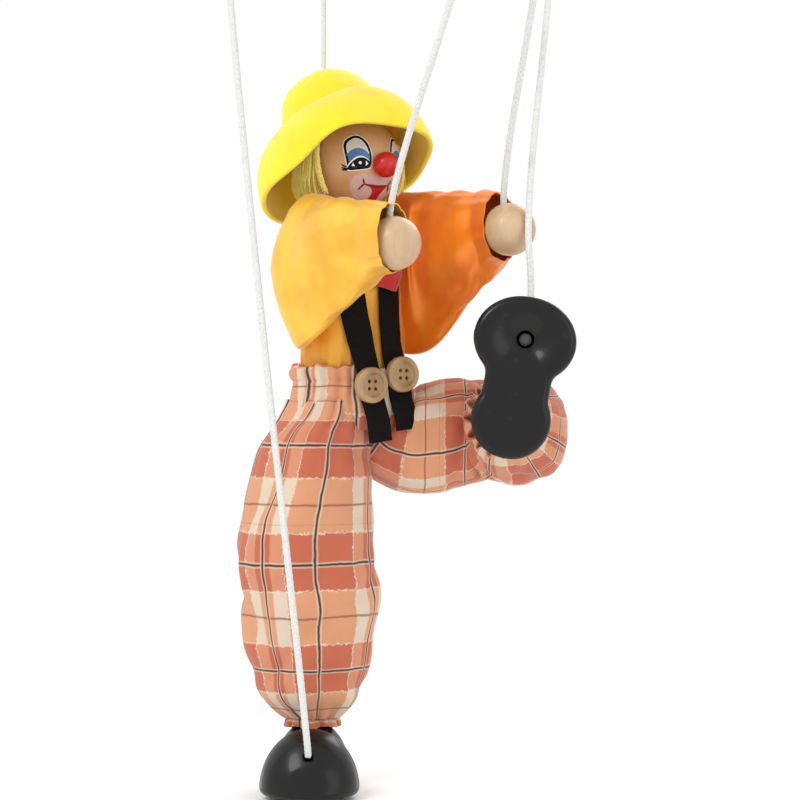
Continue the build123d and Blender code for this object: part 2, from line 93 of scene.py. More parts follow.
# forward and upward parts of the hole's slant in each shoe, and its depth
FOOT_HOLE = {"right": (13, 14, 18), "left": (17, 10, 15)}
SOLE_DROP = 22.4  # from the ankle down to the sole
TOE_MIDDLE = 31.5  # from the ankle forward to the middle of the toe


# ---------------------------------------------------------------- camera, light, floor
def set_camera():
    """A level view from the puppet's front right, down the standing toe."""
    data = bpy.data.cameras.new("camera")
    data.lens = 108.9
    data.sensor_width = 36
    data.clip_end = 10
    camera = bpy.data.objects.new("camera", data)
    bpy.context.scene.collection.objects.link(camera)
    target = spot(16.6, -10.8, 0)
    camera.location = target + AHEAD * 1.0
    camera.rotation_euler = (-AHEAD).to_track_quat("-Z", "Y").to_euler()
    bpy.context.scene.camera = camera


def area_light(name, place, aim, size, power, colour=(1, 1, 1)):
    data = bpy.data.lights.new(name, "AREA")
    data.shape = "DISK"
    data.size = size
    data.energy = power
    data.color = colour
    lamp = bpy.data.objects.new(name, data)
    bpy.context.scene.collection.objects.link(lamp)
    lamp.location = place
    lamp.rotation_euler = (aim - place).to_track_quat("-Z", "Y").to_euler()


def set_lights():
    centre = spot(0, 0, 0)
    area_light("key", centre + AHEAD * 0.9 - OUT * 0.7 + UP * 0.9, centre, 0.6, 7)
    area_light("fill", centre + AHEAD * 0.9 + OUT * 0.9 + UP * 0.2, centre, 0.9, 2)
    area_light("rim", centre - AHEAD * 0.8 + OUT * 0.5 + UP * 0.7, centre, 0.6, 3)
    world = bpy.data.worlds.new("studio")
    bpy.context.scene.world = world
    world.use_nodes = True
    world.node_tree.nodes["Background"].inputs["Color"].default_value = (1, 1, 1, 1)
    world.node_tree.nodes["Background"].inputs["Strength"].default_value = 1.0
    bpy.context.scene.view_settings.view_transform = "Standard"


def make_floor():
    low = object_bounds()[0].z - 0.0015
    bpy.ops.mesh.primitive_circle_add(vertices=128, radius=0.42, fill_type="NGON", location=(0, 0, low))
    floor = bpy.context.object
    floor.name = "floor"
    made = Material("floor", 0.6)
    speck = made.noise(90, 2)
    made.colour(made.mix((0.94, 0.94, 0.93), (0.97, 0.97, 0.96), speck))
    made.put(floor)


# ---------------------------------------------------------------- materials
class Material:
    """A node material built up from small steps."""

    def __init__(self, name, rough=0.6, **sockets):
        self.material = bpy.data.materials.new(name)
        self.material.use_nodes = True
        self.tree = self.material.node_tree
        self.shader = self.tree.nodes["Principled BSDF"]
        self.shader.inputs["Roughness"].default_value = rough
        for socket, value in sockets.items():
            self.shader.inputs[socket.replace("_", " ")].default_value = value
        self.place = self.tree.nodes.new("ShaderNodeTexCoord").outputs["Object"]

    def node(self, kind, inputs=(), **settings):
        """A new node with its settings made and its named inputs set or linked."""
        made = self.tree.nodes.new(kind)
        for key, value in settings.items():
            setattr(made, key, value)
        for socket, value in dict(inputs).items():
            self.link(value, made.inputs[socket])
        return made

    def link(self, source, target):
        if hasattr(source, "links"):
            self.tree.links.new(source, target)
        elif isinstance(source, tuple) and len(source) == 3 and hasattr(target, "default_value"):
            long = len(target.default_value)
            target.default_value = (*source, 1)[:long]
        else:
            target.default_value = source

    def noise(self, scale, detail=3, rough=0.55, stretch=(1, 1, 1)):
        place = self.node("ShaderNodeMapping", {"Scale": stretch, "Vector": self.place}).outputs[0]
        inputs = {"Scale": scale, "Detail": detail, "Roughness": rough, "Vector": place}
        return self.node("ShaderNodeTexNoise", inputs).outputs["Fac"]

    def wave(self, scale, distort, direction):
        inputs = {"Scale": scale, "Distortion": distort, "Detail": 2, "Vector": self.place}
        return self.node("ShaderNodeTexWave", inputs, bands_direction=direction).outputs["Fac"]

    def math(self, operation, a, b=0.0, c=0.0):
        made = self.node("ShaderNodeMath", operation=operation)
        for value, socket in zip((a, b, c), made.inputs):
            self.link(value, socket)
        return made.outputs[0]

    def spread(self, value, low, high):
        """Stretch a value so that low is 0 and high is 1."""
        inputs = {"Value": value, "From Min": low, "From Max": high}
        return self.node("ShaderNodeMapRange", inputs, interpolation_type="SMOOTHSTEP").outputs[0]

    def mix(self, a, b, share):
        made = self.node("ShaderNodeMix", {"Factor": share, "A": a, "B": b}, data_type="RGBA")
        return next(s for s in made.outputs if s.type == "RGBA")

    def colour(self, value):
        self.link(value, self.shader.inputs["Base Color"])

    def rough(self, value, low, high):
        made = self.node("ShaderNodeMapRange", {"Value": value, "To Min": low, "To Max": high})
        self.link(made.outputs[0], self.shader.inputs["Roughness"])

    def bump(self, height, strength, distance_mm):
        inputs = {"Strength": strength, "Distance": distance_mm * MM, "Height": height}
        old = self.shader.inputs["Normal"].links
        if old:
            inputs["Normal"] = old[0].from_socket
        self.link(self.node("ShaderNodeBump", inputs).outputs[0], self.shader.inputs["Normal"])

    def put(self, piece):
        piece.data.materials.clear()
        piece.data.materials.append(self.material)
        return piece


def felt(name, light, dark):
    made = Material(name, 0.92, Sheen_Weight=0.35, Sheen_Roughness=0.5, Subsurface_Weight=0.35)
    made.shader.inputs["Subsurface Scale"].default_value = 4 * MM
    cloud = made.noise(60, 4)
    fuzz = made.noise(1500, 3, 0.7)
    made.colour(made.mix(made.mix(light, dark, made.spread(cloud, 0.35, 0.75)), light, fuzz))
    made.bump(fuzz, 0.5, 0.25)
    made.bump(cloud, 0.3, 0.6)
    return made


def satin(name, light, deep):
    made = Material(name, 0.3, Sheen_Weight=0.4, Sheen_Roughness=0.3, Specular_IOR_Level=0.6, Metallic=0.3)
    made.shader.inputs["Anisotropic"].default_value = 0.6
    cloud = made.noise(45, 4)
    warp = made.wave(900, 0.3, "X")
    weft = made.wave(900, 0.3, "Z")
    weave = made.math("MULTIPLY", warp, weft)
    made.colour(made.mix(light, deep, made.spread(cloud, 0.3, 0.75)))
    made.rough(cloud, 0.30, 0.44)
    made.bump(weave, 0.2, 0.1)
    made.bump(made.noise(70, 2, stretch=(1, 1, 0.4)), 0.25, 0.5)
    return made


def wood(name, light, dark, rough, coat=0.0, ring=160, stretch=(1, 1, 0.18)):
    made = Material(name, rough, Coat_Weight=coat, Coat_Roughness=0.12)
    grain = made.noise(ring, 5, 0.6, stretch=stretch)
    fine = made.noise(ring * 7, 3, 0.6, stretch=stretch)
    cloud = made.noise(35, 3)
    body = made.mix(light, dark, made.spread(grain, 0.35, 0.72))
    made.colour(made.mix(body, dark, made.math("MULTIPLY", made.spread(fine, 0.55, 0.8), 0.45)))
    made.rough(cloud, rough * 0.85, min(1.0, rough * 1.2))
    made.bump(fine, 0.12, 0.12)
    return made


def paint(name, tone, tone_low, rough=0.3, shine=0.3):
    made = Material(name, rough, Coat_Weight=shine, Coat_Roughness=0.15, Specular_IOR_Level=shine)
    cloud = made.noise(220, 4)
    made.colour(made.mix(tone, tone_low, made.spread(cloud, 0.35, 0.8)))
    made.rough(cloud, rough * 0.8, rough * 1.3)
    made.bump(made.noise(700, 3), 0.08, 0.08)
    return made


def metal(name):
    made = Material(name, 0.35, Metallic=1.0)
    scratch = made.noise(500, 3, stretch=(1, 1, 6))
    made.colour(made.mix((0.62, 0.61, 0.6), (0.42, 0.41, 0.4), scratch))
    made.rough(scratch, 0.25, 0.5)
    made.bump(scratch, 0.1, 0.05)
    return made


def gloss_black(name):
    made = Material(name, 0.3, Coat_Weight=0.12, Coat_Roughness=0.08, Specular_IOR_Level=0.25)
    cloud = made.noise(90, 3)
    wear = made.spread(made.noise(240, 5), 0.62, 0.78)
    made.colour(made.mix((0.005, 0.0047, 0.0045), (0.014, 0.013, 0.012), wear))
    made.rough(cloud, 0.22, 0.4)
    made.bump(made.noise(60, 2), 0.12, 0.8)
    made.bump(made.noise(900, 3), 0.05, 0.05)
    return made


def thread(name, light, dark, scale=2600):
    made = Material(name, 0.75, Sheen_Weight=0.3, Sheen_Roughness=0.5)
    fibre = made.noise(scale, 3)
    made.colour(made.mix(dark, light, made.spread(fibre, 0.25, 0.6)))
    made.bump(fibre, 0.4, 0.1)
    return made


def webbing(name):
    made = Material(name, 0.85, Specular_IOR_Level=0.12)
    rib = made.wave(520, 0.2, "Z")
    fibre = made.noise(1800, 3)
    made.colour(made.mix((0.003, 0.0028, 0.0026), (0.011, 0.010, 0.0095), fibre))
    made.bump(rib, 0.5, 0.25)
    made.bump(fibre, 0.3, 0.1)
    return made


ACROSS_REPEAT = 23.5
ALONG_REPEAT = 47.0
PLAID_SHIFT = 22.0
YARN_PITCH = 0.55


def plaid(name):
    """Checked cotton. U runs round the leg and V down it, both in millimetres."""
    made = Material(name, 0.85, Sheen_Weight=0.15, Sheen_Roughness=0.5)
    uv = made.node("ShaderNodeUVMap", uv_map="cloth").outputs["UV"]
    wobble = made.math("MULTIPLY", made.math("SUBTRACT", made.noise(130, 2), 0.5), 1.2)
    split = made.node("ShaderNodeSeparateXYZ")
    made.link(uv, split.inputs[0])
    u = made.math("ADD", split.outputs["X"], wobble)
    v = made.math("ADD", made.math("ADD", split.outputs["Y"], wobble), PLAID_SHIFT)

    def band(value, period, centre, half, soft=0.35):
        """1 inside a stripe of a repeat, 0 outside."""
        phase = made.math("PINGPONG", made.math("SUBTRACT", value, centre), period / 2)
        return made.math("SUBTRACT", 1.0, made.spread(phase, half - soft, half + soft))

    coral, peach, cream = (0.50, 0.115, 0.055), (0.64, 0.29, 0.15), (0.66, 0.54, 0.42)
    dark, brown, line_white = (0.035, 0.012, 0.01), (0.26, 0.065, 0.03), (0.74, 0.64, 0.52)
    light_row = band(v, ALONG_REPEAT, ALONG_REPEAT / 2, 11.5, 0.6)
    column = made.math("MAXIMUM", *[band(u, 2 * ACROSS_REPEAT, side * 7.2, 3.4, 0.5) for side in (1, -1)])
    ground = made.mix(coral, peach, light_row)
    pale = made.mix((0.60, 0.24, 0.13), cream, light_row)
    tone = made.mix(ground, pale, column)
    lurex = made.noise(700, 1)
    thin_lines = [(v, ALONG_REPEAT, ALONG_REPEAT / 2 + side * 11.5) for side in (1, -1)]
    thin_lines += [(u, 2 * ACROSS_REPEAT, side * 10.6) for side in (1, -1)]
    for value, period, centre in thin_lines:
        wave = made.math("ADD", value, made.math("MULTIPLY", made.math("SUBTRACT", lurex, 0.5), 2.6))
        tone = made.mix(tone, line_white, made.math("MULTIPLY", band(wave, period, centre, 0.22, 0.2), 0.75))
    tone = made.mix(tone, brown, made.math("MULTIPLY", band(v, ALONG_REPEAT, ALONG_REPEAT / 2, 0.45), 0.8))
    for value, period in ((v, ALONG_REPEAT), (u, ACROSS_REPEAT)):
        tone = made.mix(tone, line_white, made.math("MULTIPLY", band(value, period, 0, 1.05), 0.6))
        tone = made.mix(tone, dark, band(value, period, 0, 0.5))
    yarns = [made.math("MULTIPLY", split.outputs[axis], 2 * math.pi / YARN_PITCH) for axis in "XY"]
    weave = made.math("MULTIPLY", *[made.math("SINE", yarn) for yarn in yarns])
    cloud = made.noise(70, 4)
    tone = made.mix(tone, (0.9, 0.62, 0.45), made.math("MULTIPLY", made.spread(weave, 0.2, 1.0), 0.10))
    tone = made.mix(tone, (0.25, 0.07, 0.04), made.math("MULTIPLY", made.spread(cloud, 0.55, 0.9), 0.15))
    made.colour(tone)
    made.bump(weave, 0.35, 0.12)
    made.bump(made.noise(160, 2), 0.2, 0.5)
    return made


# ---------------------------------------------------------------- mesh helpers
def add_mesh(name, points, faces, uvs=None, smooth=True):
    data = bpy.data.meshes.new(name)
    data.from_pydata([tuple(p) for p in points], [], faces)
    if uvs is not None:
        layer = data.uv_layers.new(name="cloth")
        for loop, uv in zip(layer.data, uvs):
            loop.uv = uv
    data.polygons.foreach_set("use_smooth", [smooth] * len(data.polygons))
    piece = bpy.data.objects.new(name, data)
    bpy.context.scene.collection.objects.link(piece)
    data.update()
    return piece


def skin(name, rings, uv=None, ends=(False, False)):
    """A tube through rings of points. uv(ring, column) gives each corner's place on the cloth."""
    count = len(rings[0])
    points = [p for ring in rings for p in ring]
    faces, corners = [], []
    for i in range(len(rings) - 1):
        for j in range(count):
            k = (j + 1) % count
            faces.append((i * count + j, i * count + k, (i + 1) * count + k, (i + 1) * count + j))
            if uv:
                corners += [uv(i, j), uv(i, j + 1), uv(i + 1, j + 1), uv(i + 1, j)]
    if ends[0]:
        faces.append(tuple(reversed(range(count))))
        corners += [uv(0, j) for j in reversed(range(count))] if uv else []
    if ends[1]:
        faces.append(tuple(range((len(rings) - 1) * count, len(rings) * count)))
        corners += [uv(len(rings) - 1, j) for j in range(count)] if uv else []
    return add_mesh(name, points, faces, corners if uv else None)


def apply(piece, kind, **settings):
    """Add a modifier and apply it."""
    modifier = piece.modifiers.new(kind.lower(), kind)
    for key, value in settings.items():
        setattr(modifier, key, value)
    bpy.context.view_layer.update()
    with bpy.context.temp_override(object=piece, active_object=piece, selected_objects=[piece]):
        bpy.ops.object.modifier_apply(modifier=modifier.name)
    return piece


def thicken(piece, thickness_mm, offset=-1.0):
    return apply(piece, "SOLIDIFY", thickness=thickness_mm * MM, offset=offset, use_rim=True)


def smooth_between(values, at):
    """A smooth curve through numbers or points: values is [(place, value)]."""
    places = [v[0] for v in values]
    at = min(max(at, places[0]), places[-1])
    i = max(0, min(len(places) - 2, next((k for k in range(len(places) - 1) if at <= places[k + 1]), 0)))
    before, a = values[max(0, i - 1)][1], values[i][1]
    b, after = values[i + 1][1], values[min(len(values) - 1, i + 2)][1]
    t = (at - places[i]) / (places[i + 1] - places[i])
    leave, arrive = (b - before) * 0.5, (after - a) * 0.5
    ends = a * (2 * t**3 - 3 * t**2 + 1) + b * (3 * t**2 - 2 * t**3)
    return ends + leave * (t**3 - 2 * t**2 + t) + arrive * (t**3 - t**2)


def columns_at(table, at):
    """Every column of a table, from smooth_between its rows by their first entries."""
    return [smooth_between([(line[0], line[k]) for line in table], at) for k in range(1, len(table[0]))]


def turns(count):
    """Even angles round a circle."""
    return [2 * math.pi * i / count for i in range(count)]


def tenths():
    """Shares from 0 to 1."""
    return [i / 10 for i in range(11)]


# ---------------------------------------------------------------- strings
CORD_STEP = 0.6  # between the rings of a braid
HEAD_CORD, LIMB_CORD = 2.2, 2.8
HAND_WAY = Vector((0, 0.45, 0.893)).normalized()  # out of the hole in a hand


def ropelike(name, route):
    """The NURBS through a cord's route, as points at even steps."""
    curve = bpy.data.curves.new(name, "CURVE")
    curve.dimensions = "3D"
    line = curve.splines.new("NURBS")
    line.points.add(len(route) - 1)
    for point, place in zip(line.points, route):
        point.co = (*place, 1)
    line.order_u = 3
    line.use_endpoint_u = True
    line.resolution_u = 64
    holder = bpy.data.objects.new(name, curve)
    bpy.context.scene.collection.objects.link(holder)
    bpy.context.view_layer.update()
    mesh = bpy.data.meshes.new_from_object(holder)
    points = [v.co.copy() for v in mesh.vertices]
    bpy.data.objects.remove(holder)
    bpy.data.meshes.remove(mesh)
    if (points[0] - route[0]).length > (points[-1] - route[0]).length:
        points.reverse()
    return resample(points, CORD_STEP * MM)


def resample(points, step):
    """The same line with points at even steps."""
    lengths = [0.0]
    for a, b in zip(points, points[1:]):
        lengths.append(lengths[-1] + (b - a).length)
    total = lengths[-1]
    count = max(2, round(total / step))
    out, k = [], 0
    for i in range(count + 1):
        at = total * i / count
        while k < len(lengths) - 2 and lengths[k + 1] < at:
            k += 1
        share = (at - lengths[k]) / max(1e-12, lengths[k + 1] - lengths[k])
        out.append(points[k].lerp(points[k + 1], share))
    return out


def frames_along(points):
    """Two sideways directions at every point, carried along without twist."""
    side = (points[1] - points[0]).orthogonal().normalized()
    out = []
    for i in range(len(points)):
        ahead = (points[min(i + 1, len(points) - 1)] - points[max(i - 1, 0)]).normalized()
        side = (side - ahead * side.dot(ahead)).normalized()
        out.append((side.copy(), ahead.cross(side)))
    return out


def braid(name, points, diameter_mm, made, start=0):
    """A braided cord's surface about the given line."""
    around, radius = 20, diameter_mm / 2 * MM
    rings = []
    pitch = 3.2 * diameter_mm
    for i, (point, (side, up)) in enumerate(zip(points, frames_along(points))):
        along = (start + i) * CORD_STEP
        ring = []
        for angle in turns(around):
            left = math.cos(4 * (angle + 2 * math.pi * along / pitch))
            right = math.cos(4 * (angle - 2 * math.pi * along / pitch))
            relief = 1 - 0.24 * (1 - max(left, right)) / 2
            ring.append(point + (side * math.cos(angle) + up * math.sin(angle)) * radius * relief)
        rings.append(ring)
    return made.put(skin(name, rings, ends=(True, True)))


def split_at(points, heights):
    """Cut a line falling from the control where it passes each height in the row frame."""
    parts, start = [], 0
    for height in heights:
        cut = next(i for i in range(start + 1, len(points)) if points[i].z < row(0, 0, height).z)
        parts.append((start, points[start:cut + 1]))
        start = cut
    parts.append((start, points[start:]))
    return parts


def puppet_string(name, route, diameter, cuts, made):
    """One string as pieces that each join two moving bodies, or ride on one."""
    line = ropelike(name, route)
    for k, (start, part) in enumerate(split_at(line, cuts)):
        piece = braid(f"{name}_{k + 1}", part, diameter, made, start)
        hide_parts(name)
        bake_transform(piece)


def foot_route(side, top, bend):
    """A foot string's route: down from the leg bar, past the bend and into the slanting hole in the shoe."""
    forward, upward, deep = FOOT_HOLE[side]
    way = (SHOE_TOE[side] * forward + SHOE_UP[side] * upward).normalized()
    sole = ANKLE[side] - SHOE_UP[side] * SOLE_DROP * MM + SHOE_TOE[side] * TOE_MIDDLE * MM
    end = sole + SHOE_UP[side] * 4 * MM + way * deep * MM
    return [top, top - UP * 12 * MM, bend, end + way * 9 * MM, end]


def make_strings():
    made = thread("string", (0.74, 0.74, 0.73), (0.50, 0.50, 0.49))
    tops = {"head": row(0, HEAD_HOLE_Y, 4)}
    head_route = [tops["head"], row(0, HEAD_HOLE_Y, -8), spot(-6.3, 12.2, 140), row(0, HEAD_HOLE_Y, -71)]
    puppet_string("head_string", head_route, HEAD_CORD, [-36], made)
    for side in SIDES:
        end = HAND[side] + HAND_WAY * 7 * MM
        top = tops[f"{side}_hand"] = row(SIGN[side] * 16, HAND_BAR_Y, 4)
        route = [top, top - UP * 12 * MM, end + HAND_WAY * 9 * MM, end]
        puppet_string(f"{side}_hand_string", route, LIMB_CORD, [-62], made)
    bends = {"right": spot(-59.5, -31, 20), "left": spot(29.4, -81.4, 73)}
    cuts = {"right": (-75, -150, -235), "left": (-30, -64, -98)}
    for side in SIDES:
        top = tops[f"{side}_foot"] = row(SIGN[side] * 77, 0, 4)
        route = foot_route(side, top, bends[side])
        puppet_string(f"{side}_foot_string", route, LIMB_CORD, cuts[side], made)
    for name in ("head", "right_hand", "left_hand", "right_foot", "left_foot"):
        radius = (HEAD_CORD if name == "head" else LIMB_CORD) / 2
        piece = knot(f"{name}_top_knot", tops[name] + UP * 1.9 * MM, radius, made)
        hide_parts("control_knots")
        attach(piece, "control")


def knot(name, centre, radius, made):
    """An overhand knot pulled tight. radius is its cord's own, in millimetres."""
    size, steps = radius * 0.86, 120
    points = []
    for t in turns(steps):
        x = (math.sin(t) + 2 * math.sin(2 * t)) * 0.62
        y = (math.cos(t) - 2 * math.cos(2 * t)) * 0.62
        points.append(centre + Vector((x, y, -math.sin(3 * t) * 0.9)) * size * MM)
    rings = []
    for i, point in enumerate(points):
        ahead = (points[(i + 1) % steps] - points[i - 1]).normalized()
        side = ahead.cross(UP).normalized()
        up = side.cross(ahead)
        ways = [side * math.cos(angle) + up * math.sin(angle) for angle in turns(14)]
        rings.append([point + way * radius * 0.92 * MM for way in ways])
    rings.append(rings[0])
    return made.put(skin(name, rings))


# ---------------------------------------------------------------- cloth
def unit(x, y, z):
    return Vector((x, y, z)).normalized()


def across(u, v, z):
    """A place by its distance along OUT, towards AHEAD and up from the middle of the waist."""
    return spot(0, 0, 0) + (OUT * u + AHEAD * v + UP * z) * MM


def ring_at(stations, share):
    """The centre, two directions and two half widths at a share of the way along a limb."""
    centre, side, up, wide, high = columns_at(stations, share)
    return centre, side.normalized(), up.normalized(), wide, high


def power(value, exponent):
    return math.copysign(abs(value) ** exponent, value)


def oval(angle, wide, deep, z):
    """A place on a level oval round the body."""
    return spot(math.cos(angle) * wide, math.sin(angle) * deep, z)


def cloth_tube(name, stations, size, flat, made, folds, n, thickness, first=0.0, last=1.0, keel=0.0):
    """A sewn tube of cloth between two shares of its length. stations are (share, centre, side, up, half
    width, half height); size is its mesh's steps along and round; folds(share, angle) is how far the cloth
    stands out in millimetres; flat is its width and length before it was sewn; n squares its section; keel
    narrows its lower side toward the first end."""
    steps, count = size
    width, length = flat
    rings = []
    for i in range(steps + 1):
        share = first + (last - first) * i / steps
        centre, side, up, wide, high = ring_at(stations, share)
        ring = []
        for angle in turns(count):
            x, y = power(math.cos(angle), 2 / n), power(math.sin(angle), 2 / n)
            x *= 1 - keel * max(0.0, -y) * max(0.0, 1 - share)
            outward = (side * (x / wide) + up * (y / high)).normalized()
            ring.append(centre + (side * x * wide + up * y * high + outward * folds(share, angle)) * MM)
        rings.append(ring)

    def cloth_place(i, j):
        return width * j / count, length * (first + (last - first) * i / steps)

    return made.put(thicken(skin(name, rings, uv=cloth_place), thickness))


def wrinkle(seed, share, angle, scale_around, scale_along, amount):
    """Soft random folds that stay continuous round the tube."""
    around = math.cos(angle) * scale_around, math.sin(angle) * scale_around
    return amount * noise.fractal(Vector((*around, share * scale_along + seed * 7.3)), 1.0, 2.0, 2)


def crease(value, centre, width):
    """A smooth valley of depth 1 about a centre."""
    return -math.exp(-((value - centre) / width) ** 2)


def gather(angle, count, amount, seed=0):
    """Small pleats round a gathered edge."""
    drift = 0.9 * math.sin(3 * angle + seed) + 0.5 * math.sin(7 * angle + seed * 2.3)
    return amount * math.sin(count * angle + drift)


LEG_FLAT = (164.0, 150.0)
UPPER_SHARE = 0.38  # of the leg's length, down to where the piece that bends at the knee starts


def right_leg_stations():
    lines = (
        (0.00, (-12.5, 0, 0), 11.5, 16.5),
        (0.07, (-13.8, 0, -7), 15.0, 18.6),
        (0.14, (-17.0, 0.3, -15), 20.5, 20.6),
        (0.25, (-19.5, 0.8, -32), 23.5, 21.5),
        (0.38, (-21.8, 1.5, -50), 27.5, 22),
        (0.48, (-21.0, 2.2, -66), 29.3, 21.6),
        (0.58, (-18.8, 3.0, -80), 28.8, 21),
        (0.74, (-17.3, 5, -102), 25.6, 20),
        (0.87, (-16.2, 6.4, -118), 21.5, 17.5),
        (0.95, (-15.4, 7, -125.5), 15.5, 13),
        (1.00, (-15, 7, -130), 10.0, 9.2),
    )
    x, y = Vector((1, 0, 0)), Vector((0, 1, 0))
    return [(share, spot(*place), x, y, wide, deep) for share, place, wide, deep in lines]


def left_leg_stations():
    out = []
    for share, place, tilt, wide, high in (
        (0.00, across(9.5, -6.8, 0), 0, 11.5, 16.5),
        (0.08, across(12, -7.2, -7), 16, 15.0, 19.0),
        (0.16, across(14.5, -7.4, -13), 48, 18.8, 20.6),
        (0.26, across(24, -7.6, -16.0), 84, 22.0, 19.8),
        (0.38, across(36, -7.6, -15.0), 90, 22.8, 19.6),
        (0.50, across(48, -7.6, -13.2), 90, 21.8, 20.2),
    ):
        tilt = math.radians(tilt)
        out.append((share, place, OUT * math.cos(tilt) + UP * math.sin(tilt), -AHEAD, wide, high))
    pivot = across(47, 12.9, -12.5)
    for share, turn, wide in ((0.58, 36, 21.6), (0.66, 72, 21.4), (0.74, 104, 20.6)):
        turn = math.radians(turn)
        back_way = OUT * math.sin(turn) - AHEAD * math.cos(turn)
        out.append((share, pivot + back_way * 20.5 * MM, UP, back_way, wide, 20.3))
    for share, place, wide, high in (
        (0.86, across(64.5, 27.0, -10.0), 17.5, 17.0),
        (0.94, across(62.6, 34.5, -9.0), 12.5, 12.5),
        (1.00, across(61.6, 38.5, -8.4), 11.2, 11.2),
    ):
        out.append((share, place, UP, back_way, wide, high))
    return out


def leg_stations(side):
    """Rings down each trouser leg from the waist to the ankle."""
    return right_leg_stations() if side == "right" else left_leg_stations()


RIGHT_CREASES = (  # share, width, slant, depth
    (0.17, 0.035, 0.050, 1.8), (0.33, 0.045, -0.06, 1.3), (0.47, 0.04, 0.08, 1.1),
    (0.64, 0.05, -0.07, 1.0), (0.84, 0.04, 0.05, 1.4),
)
LEFT_CREASES = (
    (0.155, 0.03, 0.05, 2.8), (0.24, 0.025, 0.03, 1.2), (0.47, 0.03, 0.04, 1.6),
    (0.575, 0.028, 0.0, 4.2), (0.67, 0.025, 0.02, 1.6), (0.80, 0.03, 0.03, 1.3),
)
# turns, shift, width, depth
RIGHT_WINDING = ((1.1, 0.05, 0.045, 1.7), (-0.8, 0.52, 0.04, 1.5), (0.6, 0.78, 0.05, 1.3))
LEFT_WINDING = ((0.9, 0.30, 0.045, 1.5), (-0.9, 0.70, 0.04, 1.3))


def winding(share, angle, lines):
    """Creases that wind round the tube as they run along it."""
    depth = 0.0
    for times, shift, width, amount in lines:
        place = (angle / (2 * math.pi) + times * share + shift) % 1
        depth += amount * math.sin(math.pi * share) * crease(place, 0.5, width)
    return depth


def gathers(share, angle, top_from, low_from, low_count, seed):
    """Pleats that fade away from the gathered waist and ankle."""
    low = gather(angle, low_count, 1.0, seed) * max(0, (share - low_from) / (1 - low_from))
    return low + gather(angle, 17, 0.9) * max(0, 1 - share / top_from)


def right_leg_folds(share, angle):
    depth = wrinkle(1, share, angle, 1.2, 4, 2.0) + wrinkle(3, share, angle, 2.4, 7, 0.7)
    for centre, width, slant, amount in RIGHT_CREASES:
        depth += amount * crease(share, centre + slant * math.sin(angle + centre * 9), width)
    return depth + winding(share, angle, RIGHT_WINDING) + gathers(share, angle, 0.26, 0.86, 15, 0)


def left_leg_folds(share, angle):
    depth = wrinkle(4, share, angle, 1.2, 4, 1.8) + wrinkle(6, share, angle, 2.4, 7, 0.7)
    front = 0.5 - 0.5 * math.sin(angle)
    for centre, width, slant, amount in LEFT_CREASES:
        depth += amount * front * crease(share, centre + slant * math.cos(angle), width)
    return depth + winding(share, angle, LEFT_WINDING) + gathers(share, angle, 0.26, 0.84, 14, 2)


def make_trousers():
    made = plaid("plaid")
    folds = {"right": right_leg_folds, "left": left_leg_folds}
    for side in SIDES:
        thigh, shin = f"{side}_thigh", f"{side}_shin"
        shape = dict(flat=LEG_FLAT, made=made, folds=folds[side], n=2.5, thickness=0.7)
        stations = leg_stations(side)
        upper = cloth_tube(f"{side}_trouser_upper", stations, (110, 220), last=UPPER_SHARE, **shape)
        lower = cloth_tube(f"{side}_trouser_lower", stations, (170, 220), first=UPPER_SHARE, **shape)
        hem = hem_frill(side, made)
        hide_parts(f"{side}_leg_upper")
        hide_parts(f"{side}_leg_lower")
        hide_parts(f"{side}_ankle_elastic")
        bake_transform(upper)
        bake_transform(lower)
        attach(hem, shin)
    make_waist(made)


def hem_frill(side, made):
    """The ruffle that the ankle elastic leaves below it."""
    stations = leg_stations(side)
    _, centre, x_way, y_way, wide, high = stations[-1]
    down = (stations[-1][1] - stations[-2][1]).normalized()
    long, pinch, spread = (4.5, 1.2, 0.6) if side == "right" else (8.0, 3.2, 2.2)
    rings, count, steps = [], 260, 16
    for i in range(steps + 1):
        share = i / steps
        flare = 0.0 if share < 0.25 else (share - 0.25) / 0.75
        waist = wide - pinch * math.sin(math.pi * min(1, share * 2.2)) + spread * flare
        ring = []
        for angle in turns(count):
            out = waist + gather(angle, 15, 1.0, 1.7) * (0.8 + 0.6 * spread * flare)
            drop = share * long - 0.5 + 0.5 * math.sin(5 * angle) * flare
            round_way = x_way * math.cos(angle) * out + y_way * math.sin(angle) * out * high / wide
            ring.append(centre + (round_way + down * drop) * MM)
        rings.append(ring)
    piece = skin(f"{side}_hem", rings, uv=lambda i, j: (LEG_FLAT[0] * j / count, LEG_FLAT[1] + 8 * i / steps))
    return made.put(thicken(piece, 0.6))


